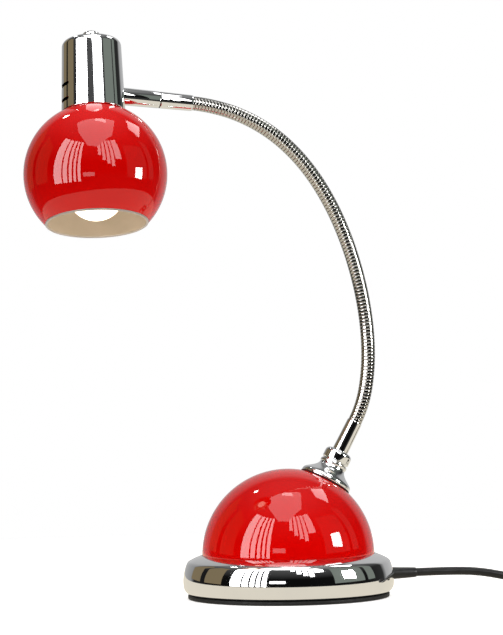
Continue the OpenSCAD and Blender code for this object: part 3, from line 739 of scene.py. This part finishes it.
def card_material(name, strength, color=(1, 1, 1)):
    mat = bpy.data.materials.new(name)
    mat.use_nodes = True
    n = mat.node_tree.nodes
    n.remove(n["Principled BSDF"])
    glow = n.new("ShaderNodeEmission")
    glow.inputs["Color"].default_value = (*color, 1)
    glow.inputs["Strength"].default_value = strength
    mat.node_tree.links.new(glow.outputs["Emission"], n["Material Output"].inputs["Surface"])
    return mat


def toward(azimuth, elevation, distance):
    """A point in metres seen from the lamp: azimuth 0 towards the camera, positive to its right."""
    a, e = math.radians(azimuth), math.radians(elevation)
    flat = right * math.sin(a) - forward * math.cos(a)
    return MIDDLE + distance * (flat * math.cos(e) + Vector((0, 0, math.sin(e))))


def card(name, corners, mat):
    """A glowing card of the studio that only mirrors and gloss show."""
    mesh = bpy.data.meshes.new(name)
    mesh.from_pydata(corners, [], [(0, 1, 2, 3)])
    mesh.materials.append(mat)
    obj = bpy.data.objects.new(name, mesh)
    scene.collection.objects.link(obj)
    obj.visible_camera = obj.visible_diffuse = obj.visible_shadow = obj.visible_transmission = False


def window(name, az0, az1, lows, high, distance, strips, mat):
    """A tall window seen through a slatted blind: upright strips that narrow to one side."""
    a = az0
    for i, ((wide, gap), low) in enumerate(zip(strips, lows)):
        b = a + wide * (az1 - az0)
        corners = [toward(at, 0, distance) for at in (a, b, b, a)]
        for j, c in enumerate(corners):
            c.z = low if j < 2 else high
        card(f"{name}_{i}", corners, mat)
        a = b + gap * (az1 - az0)


def panel(name, spots, distance, mat):
    """A card with its corners at the (azimuth, elevation) spots."""
    card(name, [toward(a, e, distance) for a, e in spots], mat)


def make_light():
    """Cards that give the reflections, and four soft area lights that gloss doesn't show."""
    bright, mid = card_material("card_bright", 7), card_material("card_mid", 5)
    soft, spark = card_material("card_soft", 2.4), card_material("card_spark", 26)
    window("window_left", -66, -22, [0.02] * 5, 1.9, 1.5,
           ((0.28, 0.05), (0.15, 0.06), (0.1, 0.06), (0.08, 0.06), (0.1, 0)), bright)
    window("window_mid", 2, 44, (1.1, 0.85, 0.7, 0.6, 0.9), 2.2, 1.5,
           ((0.12, 0.05), (0.12, 0.05), (0.12, 0.05), (0.12, 0.05), (0.26, 0)), mid)
    panel("ceiling_low", ((-18, 44), (0, 44), (36, 61), (-50, 60)), 1.6, soft)
    panel("ceiling_high", ((-50, 60), (36, 61), (118, 75), (-90, 68)), 1.6, soft)
    panel("ceiling_lamp", ((-60, 83), (60, 83), (130, 84), (-130, 84)), 1.5, bright)
    panel("soft_right", ((104, 46), (138, 46), (138, 60), (104, 60)), 1.6, mid)
    panel("bright_square", ((61, 1), (76, -1), (77, 15), (62, 16)), 1.0, spark)
    panel("small_spark", ((-134, 50), (-128, 50), (-128, 54), (-134, 54)), 1.2, spark)
    panel("low_left", ((-21, 0), (-4, 0), (-4, 6), (-21, 6)), 1.5, soft)
    brown = card_material("card_brown", 0.22, (1.0, 0.78, 0.45))
    green = card_material("card_green", 0.22, (0.88, 1.0, 0.88))
    for name, spans, low, near, far, mat in (
            ("left_wall", ((-132, 20), (-104, 26)), -4, 40, 34, brown),
            ("right_wall", ((50, 40), (95, 12)), -2, 44, 36, green)):
        for i, (az, wide) in enumerate(spans):
            spots = ((az, low), (az + wide, low), (az + wide, far), (az, near))
            panel(f"{name}_{i}", spots, 1.9, mat)
    for name, az, el, dist, size, power in (
            ("key", -45, 48, 1.5, 1.0, 9), ("fill", 40, 40, 1.8, 1.2, 9),
            ("top", 100, 78, 1.4, 1.2, 7), ("back", 180, 50, 1.6, 1.2, 4)):
        data = bpy.data.lights.new(name, "AREA")
        data.size, data.energy = size, power
        light = bpy.data.objects.new(name, data)
        light.location = toward(az, el, dist)
        light.rotation_mode = "QUATERNION"
        light.rotation_quaternion = (MIDDLE - light.location).to_track_quat("-Z", "Y")
        light.visible_glossy = light.visible_camera = False
        scene.collection.objects.link(light)


def make_world():
    """White to the eye; a dim room in front and a pale backdrop behind for what the surfaces mirror."""
    world = bpy.data.worlds.new("studio")
    scene.world = world
    world.use_nodes = True
    n, new = world.node_tree.nodes, world.node_tree.links.new
    n.clear()
    where, path = n.new("ShaderNodeTexCoord"), n.new("ShaderNodeLightPath")
    out = n.new("ShaderNodeOutputWorld")

    def dot(vector):
        node = n.new("ShaderNodeVectorMath")
        node.operation = "DOT_PRODUCT"
        node.inputs[1].default_value = vector
        new(where.outputs["Generated"], node.inputs[0])
        return node.outputs["Value"]

    def ramp(value, stops):
        node = n.new("ShaderNodeValToRGB")
        node.color_ramp.interpolation = "LINEAR"
        span = n.new("ShaderNodeMapRange")
        span.inputs["From Min"].default_value, span.inputs["From Max"].default_value = -1, 1
        new(value, span.inputs["Value"])
        new(span.outputs["Result"], node.inputs["Fac"])
        while len(node.color_ramp.elements) < len(stops):
            node.color_ramp.elements.new(0.5)
        for element, (at, level) in zip(node.color_ramp.elements, stops):
            element.position, element.color = (at + 1) / 2, (level, level, level, 1)
        return node.outputs["Color"]

    def mix(kind, a, b):
        node = n.new("ShaderNodeMix")
        node.data_type, node.blend_type = "RGBA", kind
        node.inputs["Factor"].default_value = 1
        new(a, node.inputs["A"])
        new(b, node.inputs["B"])
        return node.outputs["Result"]

    back = ramp(dot(forward), ((-1, 0.004), (0.1, 0.008), (0.6, 0.03), (0.72, 0.42), (0.9, 0.5),
                               (1, 0.55)))
    side = ramp(dot(right), ((-1, 0.6), (-0.35, 0.8), (-0.1, 1), (0.6, 1), (1, 1)))
    sky = ramp(dot(Vector((0, 0, 1))), ((-1, 0.04), (-0.02, 0.02), (0.0, 0.0), (0.3, 0.0),
                                        (0.75, 0.1), (1, 0.3)))
    seen, mirrored = n.new("ShaderNodeBackground"), n.new("ShaderNodeBackground")
    pick = n.new("ShaderNodeMixShader")
    seen.inputs["Color"].default_value = (1, 1, 1, 1)
    new(mix("ADD", mix("MULTIPLY", back, side), sky), mirrored.inputs["Color"])
    new(path.outputs["Is Camera Ray"], pick.inputs["Fac"])
    new(mirrored.outputs["Background"], pick.inputs[1])
    new(seen.outputs["Background"], pick.inputs[2])
    new(pick.outputs["Shader"], out.inputs["Surface"])


def make_floor():
    """A pale floor that looks white; what mirrors it gets a warm cream."""
    mat = shader("floor_white", (0.9, 0.88, 0.85), 0.8)
    n, new = mat.node_tree.nodes, mat.node_tree.links.new
    path, glow = n.new("ShaderNodeLightPath"), n.new("ShaderNodeEmission")
    lift, add = n.new("ShaderNodeEmission"), n.new("ShaderNodeAddShader")
    pick = n.new("ShaderNodeMixShader")
    glow.inputs["Color"].default_value = (0.80, 0.74, 0.62, 1)
    lift.inputs["Color"].default_value = (1, 1, 1, 1)
    lift.inputs["Strength"].default_value = 0.55
    new(n["Principled BSDF"].outputs["BSDF"], add.inputs[0])
    new(lift.outputs["Emission"], add.inputs[1])
    new(path.outputs["Is Glossy Ray"], pick.inputs["Fac"])
    new(add.outputs["Shader"], pick.inputs[1])
    new(glow.outputs["Emission"], pick.inputs[2])
    new(pick.outputs["Shader"], n["Material Output"].inputs["Surface"])
    bm = bmesh.new()
    bmesh.ops.create_circle(bm, cap_ends=True, segments=SMALL, radius=FLOOR_R)
    mesh = bpy.data.meshes.new("floor")
    bm.to_mesh(mesh)
    bm.free()
    mesh.materials.append(mat)
    floor = bpy.data.objects.new("floor", mesh)
    floor.location.z = -FLOOR_GAP
    scene.collection.objects.link(floor)


make_light()
make_world()
make_floor()
scene.view_settings.view_transform = "Standard"
